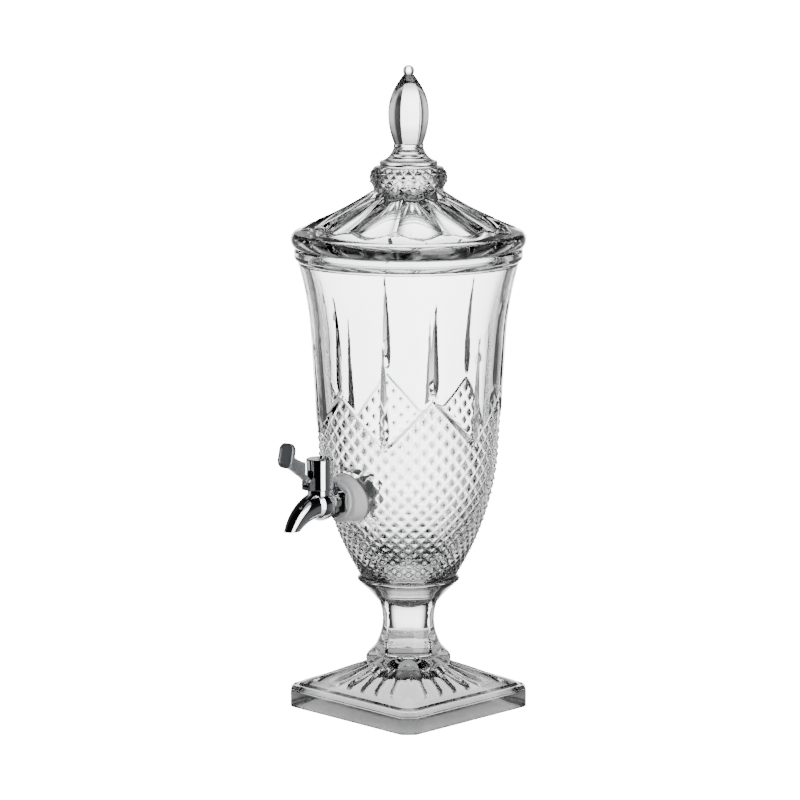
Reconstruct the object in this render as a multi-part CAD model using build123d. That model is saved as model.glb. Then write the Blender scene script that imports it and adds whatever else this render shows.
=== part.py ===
"""A pressed glass drink dispenser on a pedestal, with a lift-off lid and a push-lever tap."""

import os
from math import acos, atan2, cos, hypot, pi, radians, sin, sqrt

from build123d import *

# Sizes in millimetres. The origin is the middle of the foot, +Z is up and the tap points along -Y.

# Pedestal
PLINTH_SIDE = 144.0
PLINTH_CORNER_CUT = 9.2
PLINTH_WALL = 15.3
PLINTH_BEVEL = 2.7
PLINTH_FRAME = 3.5
PLINTH_RIM = 10.0
RECESS_DEPTH = 20.0
RECESS_TOP_SIDE = 50.0
SKIRT_RISE = 18.5
SKIRT_CORNER = 10.0
SKIRT_FLUTES = 24
SKIRT_FLUTE_DEPTH = 1.5
KNOP_RADIUS = 35.2
KNOP_BULGE = 2.0
KNOP_HEIGHT = 11.0
KNOP_FACETS = 6
KNOP_FACET_LAND = 0.5
STEM_HEIGHT = 58.5
STEM_WAIST_HEIGHT = 25.7
STEM_HALF_WIDTH = 22.6
STEM_CORNER_RADIUS = 29.5
STEM_SPREAD = 3.5
STEM_FACE_HOLLOW = 44.0
COLLAR_RADIUS = 41.2
COLLAR_LIP = 0.8
COLLAR_CROWN = 2.4
COLLAR_CUP_DEPTH = 20.5
COLLAR_CUP_RADIUS = 22.0
BOND_THICKNESS = 0.3
BOND_INSET = 1.5

# Vessel
VESSEL_HEIGHT = 266.0
VESSEL_FOOT_RADIUS = 38.6
VESSEL_SHOULDER_RADIUS = 72.2
VESSEL_SHOULDER_HEIGHT = 97.1
VESSEL_BULGE = 6.0
VESSEL_FLARE_RADIUS = 77.8
VESSEL_FLARE_HEIGHT = 194.2
VESSEL_RIM_RADIUS = 91.0
VESSEL_BEAD_HEIGHT = 10.5
VESSEL_BEAD_OVERHANG = 2.6
VESSEL_BEAD_EDGE = 2.0
VESSEL_WALL = 9.5
VESSEL_FLOOR = 18.0
VESSEL_FLOOR_RADIUS = 24.0
VESSEL_INNER_BULGE = 8.8
MOUTH_LAND = 11.0
MOUTH_DEPTH = 13.0
MOUTH_TAPER = 40.0
LEAF_CUTS = 12
LEAF_WIDTH = 8.4
LEAF_DEPTH = 2.2
LEAF_RISE = 60.0
LEAF_FALL = 20.0
LEAF_HEADROOM = 20.0
LEAF_STAGGER = 39.0
LEAF_RUNOUT = 0.4
NET_DIAMONDS = 36
NET_ASPECT = 1.03
NET_DEPTH = 2.0
NET_MARGIN = 2.3

# Lid
LID_RADIUS = 93.7
LID_EDGE = 12.0
LID_EDGE_INSET = 1.9
LID_CONE_RISE = 33.3
LID_CONE_SAG = 2.8
LID_WALL = 9.0
LID_FLUTES = 12
LID_FLUTE_DEPTH = 2.6
LID_CROWN_RADIUS = 28.5
LID_RING_RADIUS = 31.9
LID_RING_HEIGHT = 18.7
LID_RING_TOP_RADIUS = 26.9
LID_DISC_RADIUS = 23.0
LID_DISC_HEIGHT = 4.0
LID_NECK_RADIUS = 11.9
LID_NECK_LENGTH = 4.0
LID_NECK_RISE = 18.0
LID_NECK_HOLLOW = 1.8
LID_LOCATOR_DEPTH = 9.0
LID_TURN = 7.0
FINIAL_RADIUS = 17.0
FINIAL_HEIGHT = 54.0
FINIAL_PANELS = 6
FINIAL_BALL_RADIUS = 4.6

# Tap
TAP_HEIGHT = 72.3
BOSS_RADIUS = 18.5
BOSS_FACE = 77.5
BOSS_PAD_RADIUS = 15.0
BOSS_PAD_STANDOUT = 1.5
TAIL_RADIUS = 8.0
INLET_RADIUS = 3.6
INLET_RISE = 1.2
WASHER_RADIUS = 14.2
WASHER_THICKNESS = 2.0
NUT_FLATS = 22.0
NUT_THICKNESS = 7.0
TAIL_STANDOUT = 3.0
FLANGE_FLATS = 24.6
FLANGE_THICKNESS = 3.5
HUB_RADIUS = 10.5
TAP_REACH = 20.7
BULB_RADIUS = 13.0
NECK_RADIUS = 9.9
NECK_RISE = 11.3
STUB_RADIUS = 7.4
STUB_LENGTH = 6.0
CHAMBER_RADIUS = 6.2
SEAT_DROP = 3.0
SPOUT_BEND = 36.0
SPOUT_ROOT_RADIUS = 10.8
SPOUT_TIP_RADIUS = 5.4
SPOUT_DROP = 18.2
SPOUT_SET = 0.5
WATERWAY_RADIUS = 3.0
NOZZLE_RADIUS = 3.3
NOZZLE_DEPTH = 4.4
GASKET_THICKNESS = 0.8
BARREL_RADIUS = 10.7
BARREL_HEIGHT = 20.7
BARREL_WALL = 2.5
CAP_RADIUS = 11.0
CAP_THICKNESS = 3.0
CAP_PLUG = 2.0
CAP_EDGE = 0.7
LEVER_WIDTH = 5.6
LEVER_PIN_RADIUS = 1.5
LEVER_PIN_REACH = 11.5
LEVER_LENGTH = 34.2
LEVER_RISE = 45.3
LEVER_BOSS_RADIUS = 3.2
BLADE_WIDTH = 4.0
BLADE_SETBACK = 5.5
BLADE_FOOT = 2.4
BLADE_DEPTH = 14.5
BLADE_HOLLOW = 1.5
PAD_HALF_WIDTH = 7.9
PAD_HALF_HEIGHT = 9.9
PAD_CORNER = 6.0
PAD_EDGE = 0.8
PAD_THICKNESS = 4.0
PAD_TILT = 12.0
PAD_RIM = 2.0
PAD_DISH = 0.8
EAR_THICKNESS = 1.6
STEM_ROD_RADIUS = 1.2
STEM_COLLAR_RADIUS = 4.5
STEM_COLLAR = 1.5
STEM_GUIDE = 3.5
PLUG_RADIUS = 5.2
PLUG_HEIGHT = 4.0
PLUG_SKIN = 1.0
PACKING_WIDTH = 1.8
PACKING_HEIGHT = 1.8
SPRING_RADIUS = 3.4
SPRING_WIRE = 0.45
SPRING_TURNS = 5

# Clearances
FIT = 0.05
RUN = 0.3
LID_PLAY = 0.8
TAIL_PLAY = 0.5

# Heights and places that follow from the sizes above
plinth_top = PLINTH_WALL + PLINTH_BEVEL
knop_base = plinth_top + SKIRT_RISE
knop_top = knop_base + KNOP_HEIGHT
collar_rim = knop_top + STEM_HEIGHT
pedestal_top = collar_rim + COLLAR_CROWN
vessel_foot = pedestal_top + BOND_THICKNESS
vessel_rim = vessel_foot + VESSEL_HEIGHT
mouth_radius = VESSEL_RIM_RADIUS - MOUTH_LAND
tap_axis = vessel_foot + TAP_HEIGHT
barrel_y = -(BOSS_FACE + TAP_REACH)
neck_top = tap_axis + NECK_RISE
barrel_base = neck_top + GASKET_THICKNESS
barrel_top = barrel_base + BARREL_HEIGHT
barrel_bore = BARREL_RADIUS - BARREL_WALL
stub_end = neck_top - STUB_LENGTH
packing_radius = STEM_ROD_RADIUS + FIT + PACKING_WIDTH
valve_seat = tap_axis - SEAT_DROP
pin_y = barrel_y - LEVER_PIN_REACH
pin_z = barrel_base + BARREL_WALL + LEVER_BOSS_RADIUS + RUN
nub_radius = LEVER_PIN_RADIUS
collar_base = pin_z + nub_radius + RUN
spring_base = collar_base + STEM_COLLAR
cap_under = barrel_top - CAP_PLUG


def turned(*edges):
    """Solid of revolution about Z from edges drawn as (radius, height)."""
    return revolve(Plane.XZ * make_face(edges), Axis.Z)


def chain(*points):
    """Straight edges from point to point."""
    return [Line(a, b) for a, b in zip(points, points[1:])]


def spoke_ring(part, count, first=0.0):
    """Copies of a part turned evenly about Z."""
    return [Rot(0, 0, first + 360.0 * i / count) * part for i in range(count)]


def scalloped(height, count, radius_at, dip, first=0.0):
    """Flat face through count points about Z, each span an arc that dips inward."""
    angles = [radians(first + 360.0 * i / count) for i in range(count)]
    points = [(radius_at(a) * cos(a), radius_at(a) * sin(a)) for a in angles]
    edges = []
    for a, b in zip(points, points[1:] + points[:1]):
        middle = ((a[0] + b[0]) / 2, (a[1] + b[1]) / 2)
        inward = 1 - dip / hypot(*middle)
        if dip > 0:
            edges.append(ThreePointArc(a, (middle[0] * inward, middle[1] * inward), b))
        else:
            edges.append(Line(a, b))
    return Pos(0, 0, height) * make_face(edges)


def square_radius(half, corner):
    """Distance from the middle to the edge of a rounded square, as a function of the angle."""
    def radius_at(angle):
        c, s = abs(cos(angle)), abs(sin(angle))
        centre = half - corner
        if half * min(c, s) <= centre * max(c, s):
            return half / max(c, s)
        along = centre * (c + s)
        return along + sqrt(along**2 - 2 * centre**2 + corner**2)
    return radius_at


def upright(radius, low, high, y=0.0):
    """Cylinder on a vertical axis at the given Y, between two heights."""
    return Pos(0, y, (low + high) / 2) * Cylinder(radius, high - low)


def level(radius, near, far, z):
    """Cylinder along Y between two distances in front of the axis."""
    return Pos(0, -(near + far) / 2, z) * Rot(90, 0, 0) * Cylinder(radius, far - near)


def level_hexagon(flats, near, far, z):
    """Hexagonal bar along Y, points up and down, between two distances in front of the axis."""
    outline = RegularPolygon(flats / 2, 6, major_radius=False, rotation=30)
    return extrude(Plane((0, -near, z), x_dir=(1, 0, 0), z_dir=(0, -1, 0)) * outline, far - near)


def make_pedestal():
    """Square plinth, fluted skirt, faceted knop, four-faced stem and collar in one piece of glass."""
    half = PLINTH_SIDE / 2
    square = chamfer(Rectangle(PLINTH_SIDE, PLINTH_SIDE).vertices(), PLINTH_CORNER_CUT)
    plinth = extrude(square, plinth_top)
    plinth = chamfer(plinth.faces().sort_by(Axis.Z)[-1].edges(), PLINTH_BEVEL)
    foot = half - PLINTH_BEVEL - PLINTH_FRAME
    knop_root = KNOP_RADIUS - KNOP_BULGE

    def skirt_section(share):
        across = knop_root + (foot - knop_root) * (1 - share) ** 1.3
        corner = SKIRT_CORNER + (knop_root * 0.99 - SKIRT_CORNER) * share
        dip = 0.1 + SKIRT_FLUTE_DEPTH * sin(pi * share)
        edge = square_radius(across, corner)
        return scalloped(plinth_top + SKIRT_RISE * share, SKIRT_FLUTES, edge, dip)

    skirt = loft([skirt_section(share) for share in (0.0, 0.25, 0.5, 0.75, 1.0)])
    stem_root = (STEM_CORNER_RADIUS + STEM_SPREAD, knop_top)
    waist = (STEM_CORNER_RADIUS, knop_top + STEM_WAIST_HEIGHT)
    core = knop_root - KNOP_BULGE
    rim = (COLLAR_RADIUS, collar_rim)
    lip = (COLLAR_RADIUS, collar_rim + COLLAR_LIP)
    shaft = turned(
        *chain((0, plinth_top), (core, plinth_top), (core, knop_base), (knop_root, knop_base)),
        ThreePointArc((knop_root, knop_base), (KNOP_RADIUS, knop_base + KNOP_HEIGHT * 0.42), stem_root),
        ThreePointArc(stem_root, waist, rim),
        *chain(rim, lip, (VESSEL_FOOT_RADIUS, pedestal_top), (0, pedestal_top), (0, plinth_top)),
    )
    knop_flat = KNOP_RADIUS * cos(pi / KNOP_FACETS) + KNOP_FACET_LAND
    facet_block = Pos(knop_flat + KNOP_RADIUS / 2, 0, knop_base + KNOP_HEIGHT / 2) * Box(
        KNOP_RADIUS, 2 * KNOP_RADIUS, KNOP_HEIGHT
    )
    face_cutter = Pos(STEM_HALF_WIDTH + STEM_FACE_HOLLOW, 0, waist[1]) * Rot(90, 0, 0) * Cylinder(
        STEM_FACE_HOLLOW, 4 * STEM_CORNER_RADIUS
    )
    keep = upright(2 * COLLAR_RADIUS, knop_top, collar_rim - COLLAR_LIP)
    shaft = shaft - spoke_ring(facet_block, KNOP_FACETS, 15) - spoke_ring(face_cutter & keep, 4, 45)
    cup_base = collar_rim - COLLAR_CUP_DEPTH
    cup = turned(*chain(
        (0, cup_base), (COLLAR_CUP_RADIUS, cup_base), rim, lip, (0, lip[1]), (0, cup_base),
    ))
    inner = half - PLINTH_RIM
    recess = loft([
        RectangleRounded(2 * inner, 2 * inner, SKIRT_CORNER),
        Pos(0, 0, RECESS_DEPTH) * RectangleRounded(RECESS_TOP_SIDE, RECESS_TOP_SIDE, RECESS_TOP_SIDE * 0.45),
    ], ruled=True)
    return plinth + skirt + shaft + cup - recess


def make_bond_film():
    """Adhesive disc between the collar and the foot of the bowl."""
    return upright(VESSEL_FOOT_RADIUS - BOND_INSET, pedestal_top, vessel_foot)


def wall_radius(height):
    """Outer radius of the straight wall above the shoulder."""
    slope = (VESSEL_FLARE_RADIUS - VESSEL_SHOULDER_RADIUS) / (VESSEL_FLARE_HEIGHT - VESSEL_SHOULDER_HEIGHT)
    return VESSEL_SHOULDER_RADIUS + slope * (height - vessel_foot - VESSEL_SHOULDER_HEIGHT)


def hollow_points():
    """Main points of the bowl's inside as (radius, height): throat, shoulder and edge of the floor."""
    throat_height = vessel_rim - MOUTH_DEPTH - MOUTH_TAPER
    throat = (wall_radius(throat_height) - VESSEL_WALL, throat_height)
    shoulder = (VESSEL_SHOULDER_RADIUS - VESSEL_WALL, vessel_foot + VESSEL_SHOULDER_HEIGHT)
    return throat, shoulder, (VESSEL_FLOOR_RADIUS, vessel_foot + VESSEL_FLOOR)


def bulged_radius(height, low, high, bulge):
    """Radius at a height on the arc that stands out from the chord between two points by a bulge."""
    rise, spread = high[1] - low[1], high[0] - low[0]
    chord = hypot(rise, spread)
    bend = (chord**2 / 4 + bulge**2) / (2 * bulge)
    inward = (bend - bulge) / chord
    centre_r = (high[0] + low[0]) / 2 - inward * rise
    centre_z = (high[1] + low[1]) / 2 + inward * spread
    return centre_r + sqrt(bend**2 - (height - centre_z) ** 2)


def hollow_radius(height):
    """Inner radius of the bowl below its shoulder."""
    _, shoulder, floor_edge = hollow_points()
    return bulged_radius(height, floor_edge, shoulder, VESSEL_INNER_BULGE)


def pad_distance():
    """Distance from the axis to the flat pad that the inner washer seats on."""
    return hollow_radius(tap_axis - BOSS_PAD_RADIUS) - BOSS_PAD_STANDOUT


def outer_radius(height):
    """Outer radius of the bowl at a height: the lower bulge, the straight wall, or the flare under the bead."""
    shoulder = vessel_foot + VESSEL_SHOULDER_HEIGHT
    start = vessel_foot + VESSEL_FLARE_HEIGHT
    if height <= shoulder:
        foot = (VESSEL_FOOT_RADIUS, vessel_foot)
        return bulged_radius(height, foot, (VESSEL_SHOULDER_RADIUS, shoulder), VESSEL_BULGE)
    if height <= start:
        return wall_radius(height)
    bead = (VESSEL_RIM_RADIUS - VESSEL_BEAD_OVERHANG, vessel_rim - VESSEL_BEAD_HEIGHT)
    lean = atan2(wall_radius(start + 1) - VESSEL_FLARE_RADIUS, 1)
    chord = hypot(bead[0] - VESSEL_FLARE_RADIUS, bead[1] - start)
    turn = atan2(bead[0] - VESSEL_FLARE_RADIUS, bead[1] - start) - lean
    if abs(turn) < 1e-6:
        return wall_radius(height)
    bend = chord / (2 * sin(turn))
    centre = (VESSEL_FLARE_RADIUS + bend * cos(lean), start - bend * sin(lean))
    reach = sqrt(bend**2 - (height - centre[1]) ** 2)
    return centre[0] - reach if bend > 0 else centre[0] + reach


def leaf_tip(high):
    """Height of the upper end of a high or a low leaf cut."""
    tip = vessel_rim - VESSEL_BEAD_HEIGHT - LEAF_HEADROOM
    return tip if high else tip - LEAF_STAGGER


def leaf_cutter(tip):
    """Mitre cut into the front of the wall: a V that is deepest at one height and runs out at both ends."""
    spread = LEAF_WIDTH / LEAF_DEPTH / 2
    back = 2 * LEAF_DEPTH

    def section(height, depth):
        wall = outer_radius(height)
        half = spread * (depth + back)
        outline = chain((0, depth - wall), (half, -wall - back), (-half, -wall - back), (0, depth - wall))
        return Pos(0, 0, height) * make_face(outline)

    return loft([
        section(tip - LEAF_RISE - LEAF_FALL, -LEAF_RUNOUT),
        section(tip - LEAF_RISE, LEAF_DEPTH),
        section(tip - LEAF_RISE / 2, LEAF_DEPTH / 2),
        section(tip, -LEAF_RUNOUT),
    ], ruled=True)


def net_heights():
    """Heights of the net's rings, from the foot to the high leaves, half a diamond apart along the wall."""
    top = leaf_tip(True) - LEAF_RISE - LEAF_FALL
    heights = [vessel_foot + NET_MARGIN]
    while True:
        here = heights[-1]
        half_diamond = NET_ASPECT * outer_radius(here) * pi / NET_DIAMONDS
        lean = outer_radius(here + 1) - outer_radius(here)
        here += half_diamond / hypot(1, lean)
        if here > top:
            return heights
        heights.append(here)


def make_net():
    """Lower body of the bowl, faceted into diamonds under a zigzag that peaks below each high leaf."""
    heights = net_heights()
    top = len(heights) - 1
    columns = 2 * NET_DIAMONDS
    peak_pitch = 2 * columns // LEAF_CUTS

    def is_cut(column, row):
        from_peak = abs((column + peak_pitch // 2) % peak_pitch - peak_pitch // 2)
        return row + from_peak < top

    def is_crossing(column, row):
        return (column + row + top) % 2 == 0

    def depth(column, row):
        beside = ((column - 1, row), (column + 1, row), (column, row - 1), (column, row + 1))
        cut = row > 0 and is_crossing(column, row) and any(is_cut(*place) for place in beside)
        return NET_DEPTH * outer_radius(heights[row]) / VESSEL_SHOULDER_RADIUS if cut else 0

    def corner(column, row):
        radius = outer_radius(heights[row]) - depth(column % columns, row)
        angle = pi * column / NET_DIAMONDS
        return Vector(radius * sin(angle), -radius * cos(angle), heights[row])

    def facet(*places):
        return Face(Wire.make_polygon([corner(*place) for place in places]))

    facets = [facet(*((column, row) for column in range(columns))) for row in (0, top)]
    for row in range(top):
        for column in range(columns):
            ring = [(column, row), (column + 1, row), (column + 1, row + 1), (column, row + 1)]
            if not any(depth(c % columns, r) for c, r in ring):
                facets.append(facet(*ring))
                continue
            if not is_crossing(column, row):
                ring = ring[1:] + ring[:1]
            facets += [facet(ring[0], ring[1], ring[2]), facet(ring[0], ring[2], ring[3])]
    return Solid(Shell(facets))


def make_vessel():
    """Bowl with a bead at the rim, leaf cuts, a net of diamonds, and a boss with a bore for the tap."""
    foot = (VESSEL_FOOT_RADIUS, vessel_foot)
    shoulder = (VESSEL_SHOULDER_RADIUS, vessel_foot + VESSEL_SHOULDER_HEIGHT)
    flare = (VESSEL_FLARE_RADIUS, vessel_foot + VESSEL_FLARE_HEIGHT)
    rise = (flare[0] - shoulder[0], flare[1] - shoulder[1])
    bead = (VESSEL_RIM_RADIUS - VESSEL_BEAD_OVERHANG, vessel_rim - VESSEL_BEAD_HEIGHT)
    bead_low = (VESSEL_RIM_RADIUS, bead[1] + VESSEL_BEAD_OVERHANG * 1.4)
    bead_high = (VESSEL_RIM_RADIUS, vessel_rim - VESSEL_BEAD_EDGE)
    land = (VESSEL_RIM_RADIUS - VESSEL_BEAD_EDGE, vessel_rim)
    ledge = vessel_rim - MOUTH_DEPTH
    throat, inner_shoulder, floor_edge = hollow_points()
    bowl = turned(
        Line((0, vessel_foot), foot),
        SagittaArc(foot, shoulder, -VESSEL_BULGE),
        Line(shoulder, flare),
        TangentArc(flare, bead, tangent=rise),
        *chain(bead, bead_low, bead_high, land, (0, vessel_rim), (0, vessel_foot)),
    )
    hollow = turned(
        *chain((0, vessel_rim), (mouth_radius, vessel_rim), (mouth_radius, ledge), throat, inner_shoulder),
        SagittaArc(inner_shoulder, floor_edge, VESSEL_INNER_BULGE),
        *chain(floor_edge, (0, floor_edge[1]), (0, vessel_rim)),
    )
    cuts = []
    for i in range(LEAF_CUTS):
        cuts.append(Rot(0, 0, 360.0 * i / LEAF_CUTS) * leaf_cutter(leaf_tip(i % 2 == 0)))
    rings = net_heights()
    band = upright(2 * VESSEL_RIM_RADIUS, rings[0], rings[-1])
    pad_face = pad_distance()
    boss = level(BOSS_RADIUS, pad_face, BOSS_FACE, tap_axis) - hollow
    pad = level(BOSS_PAD_RADIUS, pad_face, BOSS_FACE, tap_axis)
    bore = level(TAIL_RADIUS + TAIL_PLAY, 0, BOSS_FACE + WASHER_THICKNESS, tap_axis)
    return bowl - band + make_net() - cuts - hollow + boss + pad - bore


def make_lid():
    """Fluted lid with a hollow underside, a locating ring, a banded crown and a panelled finial."""
    edge_low = (VESSEL_RIM_RADIUS, vessel_rim)
    edge_middle = (LID_RADIUS, vessel_rim + LID_EDGE / 2)
    edge_top = (LID_RADIUS - LID_EDGE_INSET, vessel_rim + LID_EDGE)
    rim = turned(
        ThreePointArc(edge_low, edge_middle, edge_top),
        *chain(edge_top, (0, edge_top[1]), (0, vessel_rim), edge_low),
    )

    def cone_section(share):
        radius = edge_top[0] + (LID_CROWN_RADIUS - edge_top[0]) * share
        height = edge_top[1] + LID_CONE_RISE * share - 4 * LID_CONE_SAG * share * (1 - share)
        dip = LID_FLUTE_DEPTH * (1 - 0.85 * share)
        return scalloped(height, LID_FLUTES, lambda angle: radius, dip)

    cone = loft([cone_section(share) for share in (0.0, 0.33, 0.67, 1.0)])
    crown = edge_top[1] + LID_CONE_RISE
    ring_low = (LID_CROWN_RADIUS, crown)
    ring_middle = (LID_RING_RADIUS, crown + LID_RING_HEIGHT / 2)
    ring_top = (LID_RING_TOP_RADIUS, crown + LID_RING_HEIGHT)
    disc_low = (LID_DISC_RADIUS, ring_top[1])
    disc_top = (LID_DISC_RADIUS, ring_top[1] + LID_DISC_HEIGHT)
    neck_top = ring_top[1] + LID_NECK_RISE
    neck_low = (LID_NECK_RADIUS, neck_top - LID_NECK_LENGTH)
    knob = turned(
        Line((0, crown), ring_low),
        ThreePointArc(ring_low, ring_middle, ring_top),
        *chain(ring_top, disc_low, disc_top),
        SagittaArc(disc_top, neck_low, LID_NECK_HOLLOW),
        *chain(neck_low, (LID_NECK_RADIUS, neck_top), (0, neck_top), (0, crown)),
    )

    def finial_section(share, size):
        height = neck_top + FINIAL_HEIGHT * share
        return scalloped(height, FINIAL_PANELS, lambda angle: FINIAL_RADIUS * size, 0.0, 45)

    swell = ((0.0, 0.71), (0.2, 0.92), (0.46, 1.0), (0.75, 0.8), (1.0, 0.3))
    finial = loft([finial_section(share, size) for share, size in swell])
    ball = Pos(0, 0, neck_top + FINIAL_HEIGHT + FINIAL_BALL_RADIUS * 0.8) * Sphere(FINIAL_BALL_RADIUS)
    locator_radius = mouth_radius - LID_PLAY
    locator_low = vessel_rim - LID_LOCATOR_DEPTH
    locator = upright(locator_radius, locator_low, vessel_rim + LID_EDGE / 2)
    dome_low = (locator_radius - LID_WALL, vessel_rim)
    dome_top = (LID_CROWN_RADIUS - LID_WALL, crown - LID_WALL)
    hollow = turned(
        *chain((0, locator_low), (dome_low[0], locator_low), dome_low),
        SagittaArc(dome_low, dome_top, LID_CONE_SAG),
        *chain(dome_top, (0, dome_top[1]), (0, locator_low)),
    )
    return Rot(0, 0, LID_TURN) * (rim + cone + knob + finial + ball + locator - hollow)


def spout_plane(turn):
    """Plane square to the spout's bend, turned down by an angle from level."""
    a = radians(turn)
    drop = SPOUT_SET + SPOUT_BEND * (1 - cos(a))
    centre = (0, barrel_y - SPOUT_BEND * sin(a), tap_axis - drop)
    return Plane(centre, x_dir=(1, 0, 0), z_dir=(0, -cos(a), -sin(a)))


def make_tap_body():
    """Casting with the tail, flange, bulb, neck and spout, bored for the valve and the waterway."""
    flange_near = BOSS_FACE + WASHER_THICKNESS
    flange_far = flange_near + FLANGE_THICKNESS
    tail_near = pad_distance() - WASHER_THICKNESS - NUT_THICKNESS - TAIL_STANDOUT
    barrel_distance = BOSS_FACE + TAP_REACH
    tail = level(TAIL_RADIUS, tail_near, barrel_distance, tap_axis)
    flange = level_hexagon(FLANGE_FLATS, flange_near, flange_far, tap_axis)
    hub = level(HUB_RADIUS, flange_far, barrel_distance - BULB_RADIUS * 0.6, tap_axis)
    bulb = Pos(0, barrel_y, tap_axis - 1) * Sphere(BULB_RADIUS)
    neck = upright(NECK_RADIUS, tap_axis, neck_top, barrel_y)
    taper = SPOUT_ROOT_RADIUS - SPOUT_TIP_RADIUS
    spout = loft([
        spout_plane(turn) * Circle(SPOUT_ROOT_RADIUS - taper * (turn - 8) / 56)
        for turn in (8, 27, 46, 64, 76)
    ])
    mouth = tap_axis - SPOUT_DROP
    tip_cut = Pos(0, barrel_y, mouth - SPOUT_BEND) * Box(SPOUT_BEND, 4 * SPOUT_BEND, 2 * SPOUT_BEND)
    body = tail + flange + hub + bulb + neck + (spout - tip_cut)
    inlet = level(INLET_RADIUS, tail_near - 1, barrel_distance, tap_axis + INLET_RISE)
    chamber = upright(CHAMBER_RADIUS, valve_seat, stub_end, barrel_y)
    socket = upright(STUB_RADIUS + FIT, stub_end, neck_top + 1, barrel_y)
    passage_z = valve_seat - WATERWAY_RADIUS - 0.7
    outlet = upright(WATERWAY_RADIUS, passage_z, valve_seat + 1, barrel_y)
    start = (0, barrel_y, passage_z)
    bend_start = (0, barrel_y - TAP_REACH * 0.35, passage_z)
    bend = SPOUT_BEND * 0.774
    a = radians(68)
    bend_half = (0, bend_start[1] - bend * sin(a / 2), passage_z - bend * (1 - cos(a / 2)))
    bend_end = (0, bend_start[1] - bend * sin(a), passage_z - bend * (1 - cos(a)))
    route = Wire([Line(start, bend_start), ThreePointArc(bend_start, bend_half, bend_end)])
    passage = sweep(Plane(start, x_dir=(1, 0, 0), z_dir=(0, -1, 0)) * Circle(WATERWAY_RADIUS), route)
    turn = acos(1 - (SPOUT_DROP - SPOUT_SET) / SPOUT_BEND)
    nozzle_y = barrel_y - SPOUT_BEND * sin(turn)
    nozzle = upright(NOZZLE_RADIUS, mouth - 1, mouth + NOZZLE_DEPTH, nozzle_y)
    return body - inlet - chamber - socket - outlet - passage - nozzle


def make_outer_washer():
    """Soft washer between the boss and the flange."""
    ring = level(WASHER_RADIUS, BOSS_FACE, BOSS_FACE + WASHER_THICKNESS, tap_axis)
    return ring - level(TAIL_RADIUS + FIT, BOSS_FACE - 1, BOSS_FACE + WASHER_THICKNESS + 1, tap_axis)


def make_inner_washer():
    """Soft washer between the pad inside the bowl and the nut."""
    far = pad_distance()
    ring = level(WASHER_RADIUS - 1, far - WASHER_THICKNESS, far, tap_axis)
    return ring - level(TAIL_RADIUS + FIT, far - WASHER_THICKNESS - 1, far + 1, tap_axis)


def make_clamp_nut():
    """Hexagon nut that draws the tail tight from inside."""
    far = pad_distance() - WASHER_THICKNESS
    nut = level_hexagon(NUT_FLATS, far - NUT_THICKNESS, far, tap_axis)
    return nut - level(TAIL_RADIUS + FIT, far - NUT_THICKNESS - 1, far + 1, tap_axis)


def make_bonnet():
    """Barrel with a threaded stub below, a slot in front and two ears for the lever pin."""
    floor = barrel_base + BARREL_WALL
    barrel = upright(BARREL_RADIUS, barrel_base, barrel_top, barrel_y)
    stub = upright(STUB_RADIUS, stub_end, barrel_base, barrel_y)
    slot_half = LEVER_WIDTH / 2 + RUN
    ear_radius = LEVER_BOSS_RADIUS + 0.6
    ears = Pos(0, pin_y, pin_z) * Rot(0, 90, 0) * Cylinder(ear_radius, 2 * (slot_half + EAR_THICKNESS))
    ear_low = barrel_base
    web = Pos(0, (pin_y + barrel_y) / 2, (ear_low + pin_z) / 2) * Box(
        2 * (slot_half + EAR_THICKNESS), LEVER_PIN_REACH + 2 * ear_radius, pin_z - ear_low
    )
    web = web & Pos(0, pin_y + ear_radius, pin_z) * Box(
        4 * BARREL_RADIUS, 4 * ear_radius, 2 * BARREL_HEIGHT
    )
    bore = upright(barrel_bore, floor, barrel_top + 1, barrel_y)
    slot_front = LEVER_PIN_REACH + 2 * ear_radius
    slot_high = pin_z + LEVER_BOSS_RADIUS + 6
    slot = Pos(0, barrel_y - slot_front / 2, (floor + slot_high) / 2) * Box(
        2 * slot_half, slot_front, slot_high - floor
    )
    pin_hole = Pos(0, pin_y, pin_z) * Rot(0, 90, 0) * Cylinder(LEVER_PIN_RADIUS, 4 * BARREL_RADIUS)
    rod_hole = upright(STEM_ROD_RADIUS + FIT, stub_end - 1, floor + 1, barrel_y)
    groove_mid = (stub_end + barrel_base) / 2
    groove_half = PACKING_HEIGHT / 2 + FIT
    groove = upright(packing_radius + FIT, groove_mid - groove_half, groove_mid + groove_half, barrel_y)
    shell = barrel + (web + ears - upright(BARREL_RADIUS - 0.5, barrel_base - 1, barrel_top, barrel_y)) + stub
    return shell - bore - slot - pin_hole - rod_hole - groove


def make_bonnet_gasket():
    """Thin ring between the neck and the barrel."""
    ring = upright(NECK_RADIUS, neck_top, barrel_base, barrel_y)
    return ring - upright(STUB_RADIUS + FIT, neck_top - 1, barrel_base + 1, barrel_y)


def make_bonnet_cap():
    """Flat cap whose plug closes the barrel and backs the spring."""
    cap = upright(CAP_RADIUS, barrel_top, barrel_top + CAP_THICKNESS, barrel_y)
    cap = chamfer(cap.edges().sort_by(Axis.Z)[-1], CAP_EDGE)
    return cap + upright(barrel_bore - FIT, cap_under, barrel_top + 1, barrel_y)


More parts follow.
